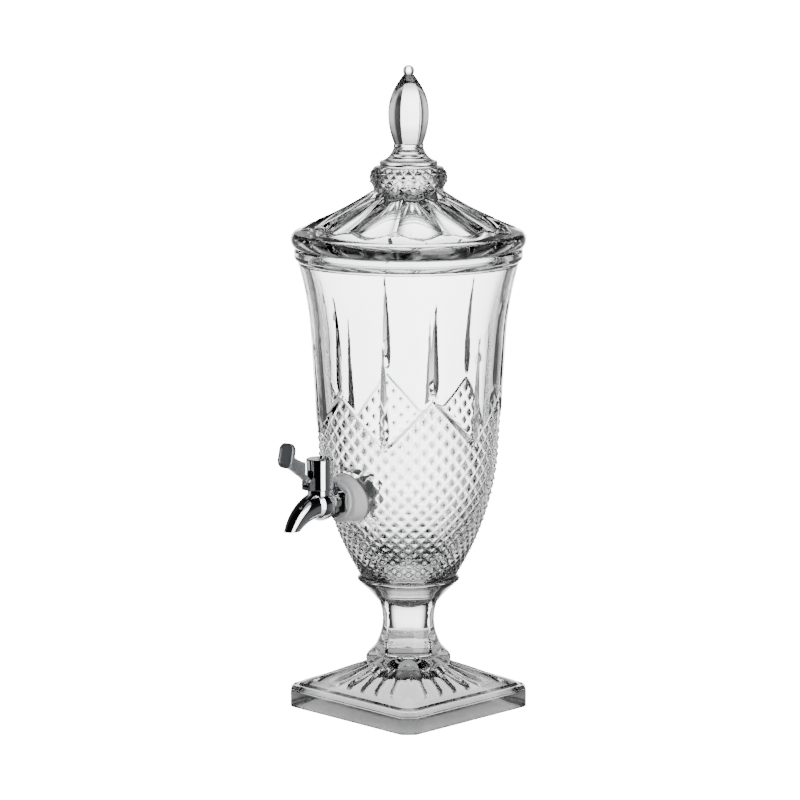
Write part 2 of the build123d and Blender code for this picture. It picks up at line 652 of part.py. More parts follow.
def make_lever():
    """Lever with a forked arm inside, a boss on the pin and a blade that rises to the thumb pad."""
    side = Plane((0, pin_y, pin_z), x_dir=(0, -1, 0), z_dir=(-1, 0, 0))
    pad_x = LEVER_LENGTH * cos(radians(LEVER_RISE))
    pad_z = LEVER_LENGTH * sin(radians(LEVER_RISE))
    foot = (BLADE_SETBACK, BLADE_FOOT)
    head = (BLADE_SETBACK, BLADE_FOOT + BLADE_DEPTH)
    tip_low = (pad_x, pad_z - PAD_HALF_HEIGHT * 0.9)
    tip_high = (pad_x, pad_z + PAD_HALF_HEIGHT * 0.4)
    blade = make_face(chain(head, foot, tip_low, tip_high) + [SagittaArc(tip_high, head, BLADE_HOLLOW)])
    neck_start = (0.4, LEVER_BOSS_RADIUS * 0.87)
    neck = make_face(chain(
        neck_start, (foot[0] + 1, foot[1] + BLADE_DEPTH * 0.4), (foot[0] + 3, foot[1] + 2.2),
        (2.0, -LEVER_BOSS_RADIUS * 0.7), neck_start,
    ))
    arm = make_face(chain(
        (0, -1.6), (0, 1.6), (-LEVER_PIN_REACH, 1.2), (-LEVER_PIN_REACH, -1.2), (0, -1.6),
    ))
    root = arm + Circle(LEVER_BOSS_RADIUS) + Pos(-LEVER_PIN_REACH, 0) * Circle(nub_radius)
    bar = extrude(side * root, LEVER_WIDTH / 2, both=True)
    bar += extrude(side * (blade + neck), BLADE_WIDTH / 2, both=True)
    pad_plane = Plane(
        (0, pin_y - pad_x, pin_z + pad_z),
        x_dir=(1, 0, 0),
        z_dir=(0, -cos(radians(PAD_TILT)), sin(radians(PAD_TILT))),
    )
    pad_face = RectangleRounded(2 * PAD_HALF_WIDTH, 2 * PAD_HALF_HEIGHT, PAD_CORNER)
    pad = extrude(pad_plane * pad_face, PAD_THICKNESS / 2, both=True)
    sides = pad.faces().sort_by(SortBy.AREA)[-2:]
    pad = fillet([edge for face in sides for edge in face.edges()], PAD_EDGE)
    dish_face = RectangleRounded(
        2 * (PAD_HALF_WIDTH - PAD_RIM), 2 * (PAD_HALF_HEIGHT - PAD_RIM), PAD_CORNER - PAD_RIM
    )
    dish = extrude(pad_plane.offset(PAD_THICKNESS / 2 - PAD_DISH) * dish_face, PAD_DISH)
    pin_hole = Pos(0, pin_y, pin_z) * Rot(0, 90, 0) * Cylinder(LEVER_PIN_RADIUS + FIT, 2 * LEVER_WIDTH)
    fork = 2 * (STEM_ROD_RADIUS + RUN)
    gap = Pos(0, barrel_y + 1, pin_z) * Box(fork, 2 * (STEM_ROD_RADIUS + 2.0), 4 * LEVER_BOSS_RADIUS)
    return bar + pad - dish - pin_hole - gap


def make_lever_pin():
    """Plain pin through both ears."""
    length = LEVER_WIDTH + 2 * RUN + 2 * EAR_THICKNESS
    return Pos(0, pin_y, pin_z) * Rot(0, 90, 0) * Cylinder(LEVER_PIN_RADIUS, length)


def make_valve_stem():
    """Rod with a collar that the fork lifts and the spring presses on."""
    rod = upright(STEM_ROD_RADIUS, valve_seat + PLUG_SKIN, spring_base + STEM_GUIDE, barrel_y)
    return rod + upright(STEM_COLLAR_RADIUS, collar_base, spring_base, barrel_y)


def make_seat_plug():
    """Soft plug on the lower end of the rod."""
    plug = upright(PLUG_RADIUS, valve_seat, valve_seat + PLUG_HEIGHT, barrel_y)
    return plug - upright(STEM_ROD_RADIUS, valve_seat + PLUG_SKIN, valve_seat + PLUG_HEIGHT, barrel_y)


def make_stem_packing():
    """Square-cut seal ring in the stub's groove."""
    low = (stub_end + barrel_base - PACKING_HEIGHT) / 2
    high = low + PACKING_HEIGHT
    return upright(packing_radius, low, high, barrel_y) - upright(STEM_ROD_RADIUS + FIT, low, high, barrel_y)


def make_return_spring():
    """Compression spring as one tube swept on quarter-turn arcs."""
    low = spring_base + SPRING_WIRE + FIT
    high = cap_under - SPRING_WIRE - FIT
    steps = SPRING_TURNS * 8

    def on_helix(step):
        angle = 2 * pi * step / 8
        height = low + (high - low) * step / steps
        return (SPRING_RADIUS * cos(angle), barrel_y + SPRING_RADIUS * sin(angle), height)

    arcs = [ThreePointArc(*(on_helix(s + k) for k in range(3))) for s in range(0, steps, 2)]
    route = Wire(arcs)
    gap = (high - low) / SPRING_TURNS - 2 * SPRING_WIRE
    print(f"return spring: least gap between turns {gap:.2f} mm")
    start = Plane(route @ 0, z_dir=route % 0)
    return sweep(start * RegularPolygon(SPRING_WIRE, 6), route)


NODES = {
    "pedestal": make_pedestal,
    "bond_film": make_bond_film,
    "vessel": make_vessel,
    "lid": make_lid,
    "tap_body": make_tap_body,
    "outer_washer": make_outer_washer,
    "inner_washer": make_inner_washer,
    "clamp_nut": make_clamp_nut,
    "bonnet": make_bonnet,
    "bonnet_gasket": make_bonnet_gasket,
    "bonnet_cap": make_bonnet_cap,
    "lever": make_lever,
    "lever_pin": make_lever_pin,
    "valve_stem": make_valve_stem,
    "seat_plug": make_seat_plug,
    "stem_packing": make_stem_packing,
    "return_spring": make_return_spring,
}

os.makedirs("parts", exist_ok=True)
for name, make in NODES.items():
    export_step(make(), f"parts/{name}.step")
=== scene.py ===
import bpy
import numpy as np
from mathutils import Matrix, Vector


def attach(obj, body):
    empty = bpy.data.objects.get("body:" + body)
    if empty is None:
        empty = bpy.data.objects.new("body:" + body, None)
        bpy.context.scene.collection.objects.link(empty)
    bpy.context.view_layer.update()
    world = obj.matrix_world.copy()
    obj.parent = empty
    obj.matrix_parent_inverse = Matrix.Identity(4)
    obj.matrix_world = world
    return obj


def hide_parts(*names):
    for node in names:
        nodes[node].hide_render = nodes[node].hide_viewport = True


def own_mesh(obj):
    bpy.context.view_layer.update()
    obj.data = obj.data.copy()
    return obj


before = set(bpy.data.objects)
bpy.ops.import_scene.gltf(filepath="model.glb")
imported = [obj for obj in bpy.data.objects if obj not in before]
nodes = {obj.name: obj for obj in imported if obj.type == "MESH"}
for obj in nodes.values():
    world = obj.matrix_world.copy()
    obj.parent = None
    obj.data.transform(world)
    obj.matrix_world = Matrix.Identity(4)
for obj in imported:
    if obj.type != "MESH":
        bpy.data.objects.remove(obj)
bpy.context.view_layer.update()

# Pedestal: a square plinth, a fluted skirt, a faceted knop and a four-faced stem under a round collar.
# It is one piece of clear soda-lime glass, pressed in a mould and fire-polished, hollow underneath.
# The bowl is bonded to its collar.

COLUMNS = 288
MM = 0.001


def linear(hex_colour):
    """sRGB hex value to linear RGBA."""
    srgb = np.array([int(hex_colour[i:i + 2], 16) for i in (0, 2, 4)]) / 255
    low, high = srgb / 12.92, ((srgb + 0.055) / 1.055) ** 2.4
    return (*np.where(srgb <= 0.04045, low, high).tolist(), 1.0)


def add(tree, kind, settings=None, inputs=None, links=None):
    """One node with its settings, its socket values and the sockets that feed it."""
    node = tree.nodes.new(kind)
    for key, value in (settings or {}).items():
        setattr(node, key, value)
    for key, value in (inputs or {}).items():
        node.inputs[key].default_value = value
    for key, source in (links or {}).items():
        tree.links.new(source, node.inputs[key])
    return node


def fresh(name):
    """An empty node material, its tree and its output node."""
    material = bpy.data.materials.new(name)
    material.use_nodes = True
    tree = material.node_tree
    tree.nodes.clear()
    return material, tree, tree.nodes.new("ShaderNodeOutputMaterial")


def pressed_glass(name, ripple_mm, ripple_depth):
    """Clear pressed glass: a faint ripple from the mould, a fire-polished skin that is never quite even,
    and a little grey in its depth, so that solid parts and edges look darker than a single wall.

    Where a piece has a point value named ground, the skin is matt, as left by a wheel or a drill, and
    where it has one named stippled, the mould has left it frosted.
    """
    haze_mm, skin_most = 35, 0.035
    ground_rough, ground_milk, stipple_rough = 0.5, 0.6, 0.62
    material, tree, out = fresh(name)
    place = add(tree, "ShaderNodeTexCoord").outputs["Object"]
    ripple = add(tree, "ShaderNodeTexNoise", None,
                 {"Scale": 1 / (ripple_mm * MM), "Detail": 2.0, "Roughness": 0.45}, {"Vector": place})
    haze = add(tree, "ShaderNodeTexNoise", None,
               {"Scale": 1 / (haze_mm * MM), "Detail": 3.0}, {"Vector": place})
    skin = add(tree, "ShaderNodeMapRange", None, {"To Min": 0.0, "To Max": skin_most},
               {"Value": haze.outputs["Fac"]})
    ground = add(tree, "ShaderNodeAttribute", {"attribute_name": "ground"}).outputs["Fac"]
    stippled = add(tree, "ShaderNodeAttribute", {"attribute_name": "stippled"}).outputs["Fac"]
    matt = add(tree, "ShaderNodeMath", {"operation": "MULTIPLY"}, {1: ground_rough}, {0: ground})
    frosted = add(tree, "ShaderNodeMath", {"operation": "MULTIPLY_ADD"}, {1: stipple_rough},
                  {0: stippled, 2: matt.outputs["Value"]})
    skin = add(tree, "ShaderNodeMath", {"operation": "MAXIMUM"}, None,
               {0: skin.outputs["Result"], 1: frosted.outputs["Value"]})
    bump = add(tree, "ShaderNodeBump", None, {"Strength": 1.0, "Distance": ripple_depth * MM},
               {"Height": ripple.outputs["Fac"]})
    clear = add(tree, "ShaderNodeMath", {"operation": "MULTIPLY_ADD"}, {1: -ground_milk, 2: 1.0},
                {0: ground})
    glass = add(tree, "ShaderNodeBsdfPrincipled", None, {"Base Color": linear("FBFCFC"), "IOR": 1.52},
                {"Roughness": skin.outputs["Value"], "Transmission Weight": clear.outputs["Value"],
                 "Normal": bump.outputs["Normal"]})
    depth = add(tree, "ShaderNodeVolumeAbsorption", None, {"Color": linear("303232"), "Density": 17.0})
    tree.links.new(glass.outputs["BSDF"], out.inputs["Surface"])
    tree.links.new(depth.outputs["Volume"], out.inputs["Volume"])
    return material


def make_piece(name, points, faces, material, crease=None):
    """Mesh object from points in millimetres; edges sharper than the crease angle stay sharp."""
    mesh = bpy.data.meshes.new(name)
    mesh.from_pydata((np.asarray(points) * MM).tolist(), [], faces)
    mesh.polygons.foreach_set("use_smooth", np.ones(len(mesh.polygons), bool))
    if crease:
        mesh.set_sharp_from_angle(angle=np.radians(crease))
    mesh.materials.append(material)
    mesh.update()
    piece = bpy.data.objects.new(name, mesh)
    bpy.context.scene.collection.objects.link(piece)
    return piece


def mark(piece, name, where):
    """Gives the points of a matt patch their value for the glass material."""
    values = piece.data.attributes.new(name, "FLOAT", "POINT").data
    values.foreach_set("value", where.astype(np.float32))


def grid_faces(rows, columns):
    """Quads of a grid of rings that close round: ring i, column j to ring i + 1, column j + 1."""
    index = np.arange(rows * columns).reshape(rows, columns)
    after = np.roll(index, -1, 1)
    return np.stack([index[:-1], after[:-1], after[1:], index[1:]], -1)


def capped(rings, first, last):
    """Points and faces of a closed shell: a stack of rings, and a fan of triangles to a point at each end."""
    count, columns = rings.shape[:2]
    points = np.concatenate([rings.reshape(-1, 3), [first, last]])
    quads = grid_faces(count, columns).reshape(-1, 4)
    column = np.arange(columns)
    onward = np.roll(column, -1)
    low = np.stack([onward, column, np.full(columns, count * columns)], -1)
    top = (count - 1) * columns
    high = np.stack([top + column, top + onward, np.full(columns, count * columns + 1)], -1)
    return points, quads.tolist() + low.tolist() + high.tolist()


def polar(angle, radius, height):
    """Ring of points at an angle, a radius and a height, each a number or an array round the ring."""
    angle = np.asarray(angle)
    return np.stack([radius * np.cos(angle), radius * np.sin(angle), height + 0 * angle], -1)


def square_edge(angle, half, corner):
    """Distance to the edge of a square with round corners: the flat side, or the corner's circle."""
    c, s = np.abs(np.cos(angle)), np.abs(np.sin(angle))
    centre = half - corner
    along = centre * (c + s)
    rounded = along + np.sqrt(np.maximum(along**2 - 2 * centre**2 + corner**2, 0))
    flat = half * np.minimum(c, s) <= centre * np.maximum(c, s)
    return np.where(flat, half / np.maximum(c, s), rounded)


def cut_square_edge(angle, half, cut, inset):
    """Distance to the edge of a square with its corners cut off flat, moved in by an inset."""
    c, s = np.abs(np.cos(angle)), np.abs(np.sin(angle))
    corner = (2 * half - cut - inset * np.sqrt(2)) / (c + s)
    return np.minimum((half - inset) / np.maximum(c, s), corner)


def nearest(angle, count, first):
    """Angle from the nearest of count evenly spaced directions."""
    step = 2 * np.pi / count
    return (angle - first + step / 2) % step - step / 2


recess_top, recess_foot_half = 20.0, 62.4
plinth_half, plinth_cut, plinth_top = 72.0, 9.2, 18.0
knop_base, knop_top, pedestal_top = 36.5, 47.5, 108.4

# Columns bunch so that one falls on each end of a cut corner.
even = np.arange(COLUMNS) * 2 * np.pi / COLUMNS
corner_start = np.arctan2(plinth_half - plinth_cut, plinth_half)
quarter = np.pi / 2
aligned = np.interp(even % quarter, [0, np.radians(41.25), np.radians(48.75), quarter],
                    [0, corner_start, quarter - corner_start, quarter])
turn = aligned + quarter * np.floor(even / quarter + 1e-9)

rings = []
for half, height in ((10, recess_top), (20, recess_top), (24, 19.8)):
    rings.append(polar(turn, square_edge(turn, half, half * 0.9), height))
for share in np.linspace(0.03, 0.985, 18):
    half, corner = 25 + 37 * share, 22.5 - 12.5 * share
    rings.append(polar(turn, square_edge(turn, half, corner), recess_top * (1 - share)))
rings.append(polar(turn, square_edge(turn, recess_foot_half, 10), 0.0))
recess_rings = len(rings)

# Inset and height up the plinth: chamfer, side, fine groove, bevel, and a step down to the skirt.
plinth_profile = (
    (6.0, 0), (1.6, 0), (1.0, 0.25), (0.4, 0.8), (0, 1.6), (0, 5.5), (0, 10), (0, 13.9), (0.6, 14.4),
    (0.6, 15.0), (0.2, 15.4), (0.7, 15.9), (2.3, 17.6), (2.8, 17.9), (3.4, 18.0), (5.0, 18.0),
    (5.5, 17.6), (5.9, 17.6))
for inset, height in plinth_profile:
    rings.append(polar(turn, cut_square_edge(turn, plinth_half, plinth_cut, inset), height))

# The skirt goes from a square to a circle; its flutes start round and run up to the knop.
skirt_foot, skirt_corner, knop_root = plinth_half - 6.2, 10, 33.2
skirt_curve, skirt_step = 1.12, 1.5
flute_half, flute_start, flute_run_in = np.radians(6.6), 0.16, 0.3
flute_inward, flute_downward = 0.5, 0.87
flute = nearest(turn, 24, np.radians(7.5))
for share in np.concatenate([[0.0, 0.012, 0.03], np.linspace(0.05, 0.985, 52)]):
    across = knop_root + (skirt_foot - knop_root) * (1 - share) ** skirt_curve
    corner = skirt_corner + (knop_root * 0.99 - skirt_corner) * share
    step = skirt_step * np.clip(share / 0.03, 0, 1) * (1 - share)
    end = np.clip((share - flute_start) / flute_run_in, 0, 1)
    half_width = flute_half * np.sqrt(1 - (1 - end) ** 2) + 1e-6
    hollow = (2.6 - 1.4 * share) * np.clip(1 - (flute / half_width) ** 2, 0, 1) * (end > 0)
    height = plinth_top + (knop_base - plinth_top) * share + step - flute_downward * hollow
    rings.append(polar(turn, square_edge(turn, across, corner) - flute_inward * hollow, height))

# The knop is a round bulge with six flats. The stem's four crowned faces are hollow up and down,
# flare out to the knop, and end in the round cup of the collar.
knop_radius, knop_flat, knop_middle = 34.4, 29.7, 40.6
stem_waist, stem_middle, stem_curve = 20.9, 72.8, 0.0122
face_half, face_crown = 19.0, 4.0
flare_top, flare_height, flare_out = 50.5, 2.6, 1.1
collar_radius = 41.2
cup_heights = (84, 86, 88, 91, 94, 97.5, 100.7, 103.5, 106)
cup_radii = (20, 22.6, 24.2, 26.8, 29.3, 32.6, 36, 39, collar_radius)
facet = nearest(turn, 6, np.radians(15))
face = nearest(turn, 4, np.radians(45))
for height in np.concatenate([np.linspace(36.7, 47.2, 16), np.linspace(47.9, 105.9, 72)]):
    if height < knop_top:
        bulge = knop_radius - 4.9 * ((height - knop_middle) / 7) ** 2
        radius = np.minimum(bulge, knop_flat / np.cos(facet))
    else:
        flare = flare_out * np.clip((flare_top - height) / flare_height, 0, 1) ** 2
        hollow = stem_waist + stem_curve * (height - stem_middle) ** 2 + flare
        edge = hollow - face_crown * np.clip(hollow * np.tan(face) / face_half, -1, 1) ** 2
        radius = np.minimum(edge / np.cos(face), np.hypot(hollow - face_crown, face_half))
        radius = np.minimum(radius, 30 + 0.6 * (height - knop_top))
        if height > cup_heights[0]:
            radius = np.maximum(radius, np.interp(height, cup_heights, cup_radii))
        radius = np.minimum(radius, collar_radius)
    rings.append(polar(turn, radius, height))
collar_profile = ((collar_radius, 106.6), (40.9, 107.0), (39.2, 108.1), (38.6, 108.35),
                  (37.8, pedestal_top), (18, pedestal_top))
for radius, height in collar_profile:
    rings.append(polar(turn, radius, height))

stipple_top, stipple_fade = 10, 3
bowl_glass = pressed_glass("pressed_soda_lime_glass", 16, 0.05)
points, faces = capped(np.array(rings), (0, 0, recess_top), (0, 0, pedestal_top))
pedestal = make_piece("pedestal_glass", points, faces, bowl_glass, 24)
recess = np.arange(len(points)) < recess_rings * COLUMNS
mark(pedestal, "stippled", recess * np.clip((stipple_top - points[:, 2]) / stipple_fade, 0, 1))
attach(pedestal, "dispenser")
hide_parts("pedestal")

# Bond film: a thin disc of clear adhesive, cured under the bowl's foot.
# It joins the bowl to the collar, and shows only as a faint line.

film, tree, out = fresh("clear_cured_adhesive")
place = add(tree, "ShaderNodeTexCoord").outputs["Object"]
flow = add(tree, "ShaderNodeTexNoise", None, {"Scale": 1 / (6 * MM), "Detail": 2.0}, {"Vector": place})
gloss = add(tree, "ShaderNodeMapRange", None, {"To Min": 0.02, "To Max": 0.12},
            {"Value": flow.outputs["Fac"]})
resin = add(tree, "ShaderNodeBsdfPrincipled", None,
            {"Base Color": linear("F6F8F7"), "IOR": 1.5, "Transmission Weight": 1.0},
            {"Roughness": gloss.outputs["Result"]})
tree.links.new(resin.outputs["BSDF"], out.inputs["Surface"])
film_foot, film_top = 108.44, 108.66
film_profile = ((20, film_foot), (36.6, film_foot), (37.0, 108.5), (37.0, 108.6), (36.6, film_top),
                (20, film_top))
film_rings = np.array([polar(turn, radius, height) for radius, height in film_profile])
points, faces = capped(film_rings, (0, 0, film_foot), (0, 0, film_top))
bond = make_piece("bond_film_disc", points, faces, film, 30)
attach(bond, "dispenser")
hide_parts("bond_film")

# Bowl: a thick-walled urn of pressed clear glass with a bead at its rim, twelve leaf cuts,
# a net of cut diamonds below them, and a bored boss that carries the tap.

DIAMONDS = 36
SUB = 4
foot_z, floor_z, rim_z, tap_z = 108.7, 125.7, 374.7, 181.0
foot_r, wall_thick = 38.6, 9.5
shoulder_r, shoulder_z = 72.2, 205.8
flare_r, flare_z = 77.8, 302.9
lip_r, lip_z = 88.4, 364.2


def bulged(start, end, sag, count):
    """Points on the arc from start to end that stands off its chord by sag, to the right of the way."""
    start, end = np.array(start, float), np.array(end, float)
    chord = end - start
    length = np.hypot(*chord)
    right = np.array([chord[1], -chord[0]]) / length
    radius = (length**2 / 4 + sag**2) / (2 * sag)
    half = np.arcsin(length / 2 / radius)
    sweep = np.linspace(-half, half, count)
    middle = (start + end) / 2 + right * (sag - radius)
    return middle + radius * (np.outer(np.cos(sweep), right) + np.outer(np.sin(sweep), chord / length))


# Foot to shoulder is an arc, then a straight cone, then a flare that leaves the cone without a kink.
slope = (flare_r - shoulder_r) / (flare_z - shoulder_z)
flare_chord = np.hypot(lip_r - flare_r, lip_z - flare_z)
flare_lean = np.arctan2(lip_r - flare_r, lip_z - flare_z)
flare_sag = flare_chord / 2 * np.tan((flare_lean - np.arctan(slope)) / 2)
cone_r, cone_z = np.linspace(shoulder_r, flare_r, 160), np.linspace(shoulder_z, flare_z, 160)
wall = np.concatenate([
    bulged((foot_r, foot_z), (shoulder_r, shoulder_z), 6.0, 160),
    np.stack([cone_r[1:], cone_z[1:]], -1),
    bulged((flare_r, flare_z), (lip_r, lip_z), -flare_sag, 100)[1:],
])
pitch = 2 * np.pi / DIAMONDS
net_foot, net_top = foot_z + 2.3, 264.2


def wall_radius(height):
    """Outer radius of the uncut bowl at a height."""
    return np.interp(height, wall[:, 1], wall[:, 0])


# Each half row of the net is as high as half a diamond is wide there, times a little stretch.
row_stretch = 1.03
half_rows = [net_foot]
while half_rows[-1] < wall[-1, 1]:
    here = half_rows[-1]
    lean = wall_radius(here + 1) - wall_radius(here)
    half_rows.append(here + row_stretch * wall_radius(here) * pitch / 2 / np.hypot(1, lean))
peak = sum(height <= net_top for height in half_rows) - 1
net_level = (np.arange(len(half_rows)) - peak) / 2
end_level = np.interp(wall[-1, 1], half_rows, net_level)
level = np.arange(net_level[0], end_level - 0.05, 1 / (2 * SUB))
level = np.concatenate([[level[0] - 0.36, level[0] - 0.2], level, [end_level]])
ring_z = np.interp(level, net_level, half_rows)
ring_z[:2] = foot_z + 0.05, foot_z + 1.1
ring_r = wall_radius(ring_z)
tap_row = int(np.argmin(np.abs(ring_z - tap_z)))
side = np.arange(COLUMNS) * 2 * np.pi / COLUMNS


def leaf(height, low, high, half_width):
    """Half width of a leaf cut at a height: a round lower end, then a long taper to a point."""
    blunt_end = 0.18
    share = np.clip((height - low) / (high - low), 0, 1)
    blunt = np.sqrt(np.clip(share / blunt_end * (2 - share / blunt_end), 0, 1))
    taper = np.clip((1 - share) / (1 - blunt_end), 0, 1) ** 0.85
    return half_width * np.where(share < blunt_end, blunt, taper)


# Columns near a leaf move so that some lie on its edges.
leaf_half, leaf_deep = 4.2, 2.3
low_leaf = leaf(ring_z, 223.5, 311, leaf_half)
high_leaf = leaf(ring_z, net_top, 344.2, 4.1)
off_high = nearest(side, 6, 0.0)
off_low = nearest(side, 6, np.radians(30))
is_low = np.abs(off_low) < np.abs(off_high)
off = np.where(is_low, off_low, off_high)
half_width = np.where(is_low[None], low_leaf[:, None], high_leaf[:, None])
edge = np.maximum(half_width / ring_r[:, None], np.radians(1.3))
near = np.abs(off)[None]
two_columns, four_columns = np.radians(2.5), np.radians(5)
moved = np.where(near < two_columns, near / two_columns * edge,
                 edge + (near - two_columns) / two_columns * (four_columns - edge))
in_leaf = half_width > 0.05
moved = np.where((near < four_columns) & in_leaf, moved, near)
angle = side[None] - off[None] + np.sign(off)[None] * moved

across = np.abs(angle - (side - off)[None]) * ring_r[:, None]
into_leaf = np.clip(1 - across / np.maximum(half_width, 0.01), 0, 1)
leaf_depth = leaf_deep * np.clip(half_width / leaf_half, 0, 1) ** 0.8 * into_leaf

# p and q count the two sets of grooves, which climb to one side and to the other.
p = angle / pitch + level[:, None]
q = angle / pitch - level[:, None]
to_p, to_q = np.abs(p - np.round(p)), np.abs(q - np.round(q))


def cut_cell(i, j):
    """True where the net's cell is cut: cells under a zigzag that peaks below each high leaf."""
    middle = (i + j + 1) / 2 * pitch
    height = (i - j) / 2
    spread = np.abs(nearest(middle, 6, 0.0)) / pitch
    return height + spread < -0.25


net_deep, border_width = 0.031, 0.2
ip, iq = np.floor(p + 1e-6), np.floor(q + 1e-6)
own = cut_cell(ip, iq)
beside_p = cut_cell(ip + np.where(p - ip < 0.5, -1, 1), iq)
beside_q = cut_cell(ip, iq + np.where(q - iq < 0.5, -1, 1))
pyramid = (np.minimum(to_p, to_q) / 0.5) ** 1.7
border = np.maximum(beside_p * np.clip(1 - to_p / border_width, 0, 1),
                    beside_q * np.clip(1 - to_q / border_width, 0, 1))
groove = np.where(own, 1 - pyramid, border)
fade = np.clip((ring_z - net_foot) / 3, 0, 1)[:, None]
cut_depth = net_deep * ring_r[:, None] * groove * fade
radius = ring_r[:, None] - np.maximum(cut_depth, leaf_depth)
outside = np.stack([radius * np.sin(angle), -radius * np.cos(angle),
                    np.repeat(ring_z[:, None], COLUMNS, 1)], -1)

# The inner wall, with rows packed evenly round the tap's bore.
mouth_top, mouth_thinner = 362.4, 2
mouth = np.linspace(mouth_top, flare_z, 40)
mouth_r = wall_radius(mouth) - wall_thick + mouth_thinner * (mouth - flare_z) / (mouth_top - flare_z)
inner_shoulder_r = shoulder_r - wall_thick
inner_cone_r = np.linspace(flare_r - wall_thick, inner_shoulder_r, 40)
inner = np.concatenate([
    np.stack([mouth_r, mouth], -1),
    np.stack([inner_cone_r[1:], np.linspace(flare_z, shoulder_z, 40)[1:]], -1),
    bulged((inner_shoulder_r, shoulder_z), (24.0, 126.7), -8.8, 80)[1:],
])
inner_run = np.concatenate([[0], np.cumsum(np.hypot(*np.diff(inner, axis=0).T))])
tap_run = np.interp(-tap_z, -inner[:, 1], inner_run)
inner_step, bore_rows, upper_rows = 1.35, 19, 43
marks = np.concatenate([
    np.linspace(0, tap_run - bore_rows * inner_step, upper_rows + 1)[:-1],
    tap_run + np.arange(-bore_rows, bore_rows + 1) * inner_step,
    np.linspace(tap_run + (bore_rows + 1) * inner_step, inner_run[-1], 20)])
in_r, in_z = np.interp(marks, inner_run, inner[:, 0]), np.interp(marks, inner_run, inner[:, 1])
inner_tap_row = upper_rows + bore_rows


def around(radius, height):
    """Ring of the bowl, counted from the tap's side."""
    return np.stack([radius * np.sin(side), -radius * np.cos(side), np.full(COLUMNS, height)], -1)


rim = [around(r, z) for r, z in (
    (89.0, 364.7), (90.2, 365.6), (90.9, 366.9), (91.0, 368.5), (91.0, 371.6), (90.8, 373.0),
    (90.2, 374.0), (89.2, 374.6), (88.0, rim_z), (84.0, rim_z), (81.2, rim_z), (80.4, 374.4),
    (80.0, 373.6), (80.0, 368.0), (80.0, 364.4), (79.9, 363.4))]
floor_rings = [around(r, z) for r, z in ((23.0, 126.1), (21.0, 125.9), (12.0, floor_z))]
foot_rings = [around(r, z) for r, z in ((20.0, foot_z), (36.5, foot_z), (38.0, foot_z + 0.02))]
inside = np.stack([around(r, z) for r, z in zip(in_r, in_z)])
bowl = np.concatenate([foot_rings, outside, rim, inside, floor_rings])
tap_row += len(foot_rings)
inner_tap_row += len(foot_rings) + len(outside) + len(rim)


def patch(first_row, reach, hole, rows_up, ring_radius, ring_depth, wall_at):
    """Turns a square block of the grid round the tap axis into circles, and gives the bore's loop of points.

    Block ring k gets the listed radius and depth, with its points evenly round the circle. Past the list,
    it eases to the block's edge.
    """
    a, b = np.meshgrid(np.arange(-reach, reach + 1), np.arange(-reach, reach + 1))
    ring = np.maximum(np.abs(a), np.abs(b))
    sideways = np.abs(a) >= np.abs(b)
    with np.errstate(divide="ignore", invalid="ignore"):
        bearing = np.where(sideways, np.pi / 4 * b / a + np.pi * (a < 0),
                           np.pi / 2 - np.pi / 4 * a / b + np.pi * (b < 0))
    rows, cols = first_row + rows_up * b, a % COLUMNS
    plain = bowl[rows, cols]
    last_listed = len(ring_radius) + hole - 1
    ease = np.clip((ring - last_listed) / (reach - last_listed), 0, 1)
    listed = np.clip(ring - hole, 0, len(ring_radius) - 1)
    radius = np.array(ring_radius)[listed]
    x = (1 - ease) * radius * np.cos(bearing) + ease * plain[..., 0]
    z = (1 - ease) * (tap_z + radius * np.sin(bearing)) + ease * plain[..., 2]
    wall_y = -np.sqrt(wall_at(z) ** 2 - x**2)
    flat, lift = np.array(ring_depth)[listed].transpose(2, 0, 1)
    y = np.where(np.isnan(flat), wall_y + lift, flat)
    keep = ring[..., None] == reach
    bowl[rows, cols] = np.where(keep, plain, np.stack([x, y, z], -1))
    wanted = 2 * np.pi * np.arange(8 * hole)[:, None] / (8 * hole)
    apart = np.abs((bearing.ravel() - wanted + np.pi) % (2 * np.pi) - np.pi)
    loop = np.argmin(np.where(ring.ravel() == hole, apart, 9), 1)
    return (rows * COLUMNS + cols).ravel()[loop]


on_wall = float("nan")
hole = 5
boss_y, pad_y = -77.5, -51.45
outer_loop = patch(
    tap_row, 16, hole, 1,
    (8.5, 12.5, 16.4, 17.5, 18.2, 18.5, 18.5, 18.7, 19.4, 20.8),
    ((boss_y, 0), (boss_y, 0), (boss_y, 0), (-77.3, 0), (-76.8, 0), (-76.0, 0),
     (on_wall, -4.6), (on_wall, -2.6), (on_wall, -1.0), (on_wall, -0.2)),
    wall_radius)
inner_loop = patch(
    inner_tap_row, 14, hole, -1,
    (8.5, 11.0, 13.8, 14.7, 15.0, 15.1, 15.7),
    ((pad_y, 0), (pad_y, 0), (pad_y, 0), (-51.6, 0), (-51.9, 0), (on_wall, 0.6), (on_wall, 0.1)),
    lambda z: np.interp(z, inner[::-1, 1], inner[::-1, 0]))
quads = grid_faces(len(bowl), COLUMNS)
keep = np.ones(quads.shape[:2], bool)
bored = np.arange(-hole, hole)
for row in (tap_row, inner_tap_row):
    keep[np.ix_(row + bored, bored % COLUMNS)] = False
points = np.concatenate([bowl.reshape(-1, 3), [(0, 0, foot_z), (0, 0, floor_z)]])
fan = np.arange(COLUMNS)
onward = np.roll(fan, -1)
last = (len(bowl) - 1) * COLUMNS
faces = quads[keep].tolist()
faces += np.stack([onward, fan, np.full(COLUMNS, len(points) - 2)], -1).tolist()
faces += np.stack([last + fan, last + onward, np.full(COLUMNS, len(points) - 1)], -1).tolist()
faces += np.stack([outer_loop, np.roll(outer_loop, -1), np.roll(inner_loop, -1), inner_loop], -1).tolist()
vessel = make_piece("bowl_glass", points, faces, bowl_glass, 24)

